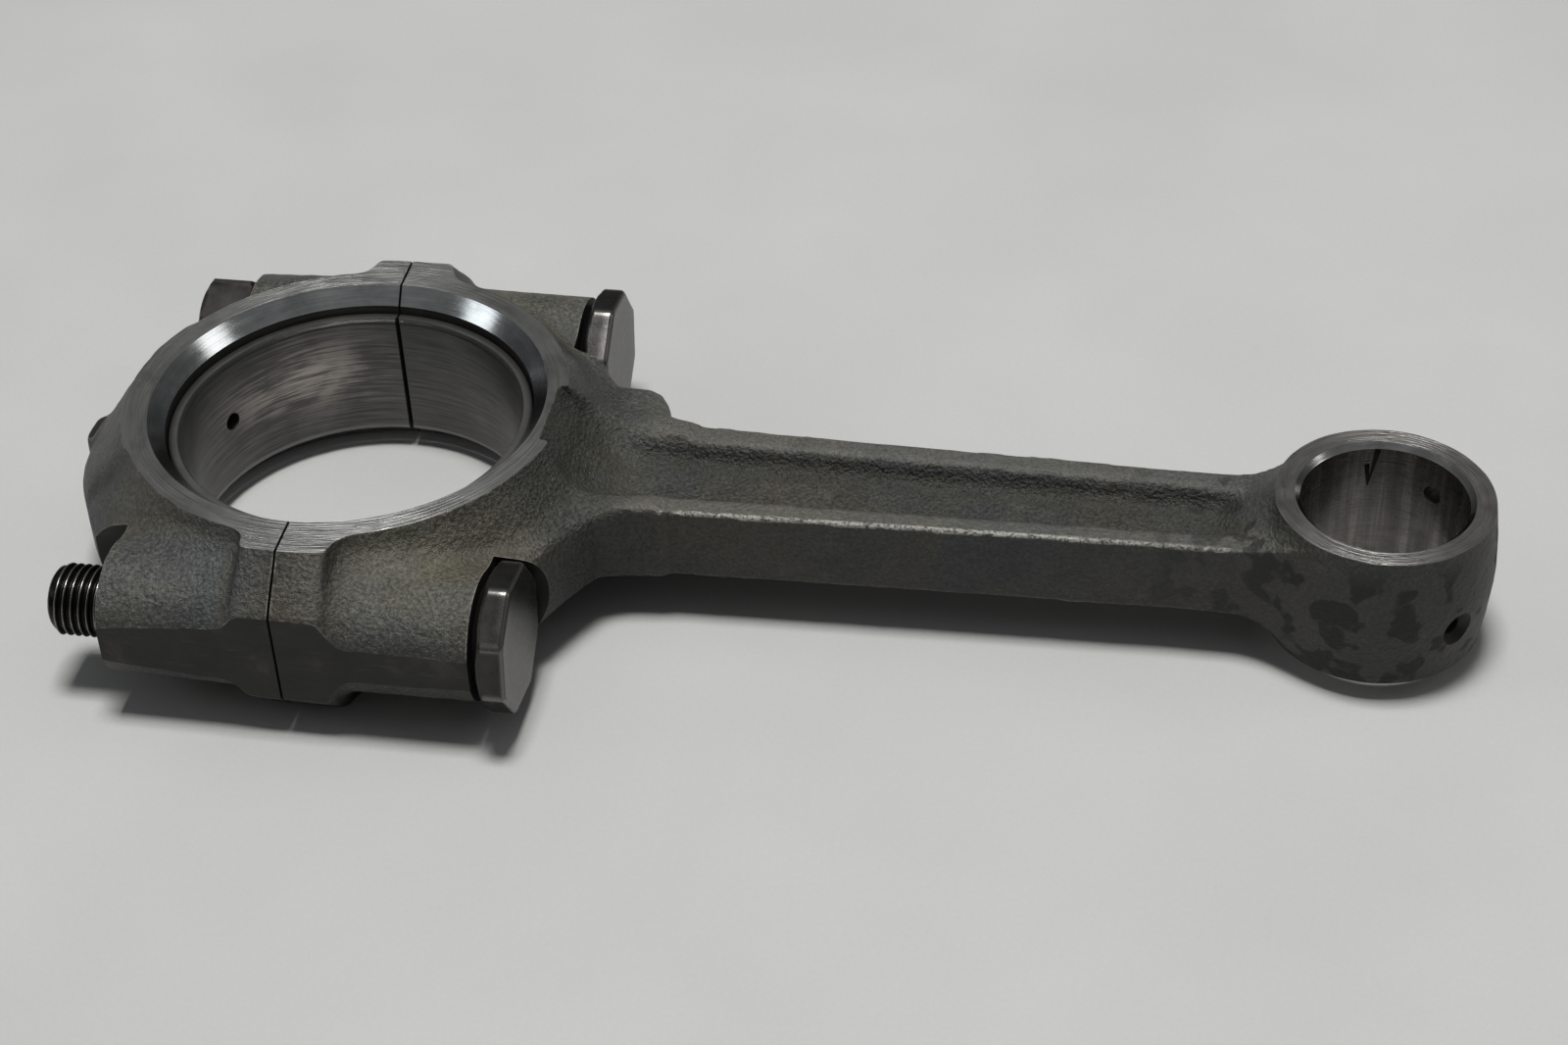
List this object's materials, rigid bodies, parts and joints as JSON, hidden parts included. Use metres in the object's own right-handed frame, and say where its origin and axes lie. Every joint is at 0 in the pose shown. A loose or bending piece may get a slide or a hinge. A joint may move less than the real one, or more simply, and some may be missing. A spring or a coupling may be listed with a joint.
{
  "type": "connecting rod",
  "caption": "Forged I-section connecting rod with a split, bolted big end, plain bearing shells and a plain small-end eye.",
  "frame": {"origin": "centre of the bounding box's underside, with the rod lying flat on its big end's side face", "axes": "+X along the shank from the crankpin bore to the piston-pin bore, +Z along both bores, +Y across"},
  "size_m": [0.177, 0.075, 0.024],
  "materials": {
    "forged_steel": "shot-blasted forging with turned faces",
    "bearing_metal": "satin, worn",
    "bolt_steel": "dark, oiled",
    "nut_steel": "dark, oiled"
  },
  "bodies": {
    "rod": {"rod_forging": "forged_steel", "bearing_shell_rod": "bearing_metal"},
    "cap": {"bearing_cap": "forged_steel", "bearing_shell_cap": "bearing_metal"},
    "nut_far": {"rod_nut_far": "nut_steel"},
    "bolt_near": {"rod_bolt_near": "bolt_steel"},
    "bolt_far": {"rod_bolt_far": "bolt_steel"}
  },
  "joints": [
    {"name": "cap_slide", "type": "slide", "parent": "rod", "child": "cap", "axis": [-1, 0, 0], "range_m": [0, 0.034]},
    {"name": "nut_far_slide", "type": "slide", "parent": "cap", "child": "nut_far", "axis": [-1, 0, 0], "range_m": [0, 0.01]},
    {"name": "bolt_near_slide", "type": "slide", "parent": "rod", "child": "bolt_near", "axis": [1, 0, 0], "range_m": [0, 0.056]},
    {"name": "bolt_far_slide", "type": "slide", "parent": "rod", "child": "bolt_far", "axis": [1, 0, 0], "range_m": [0, 0.056]}
  ]
}
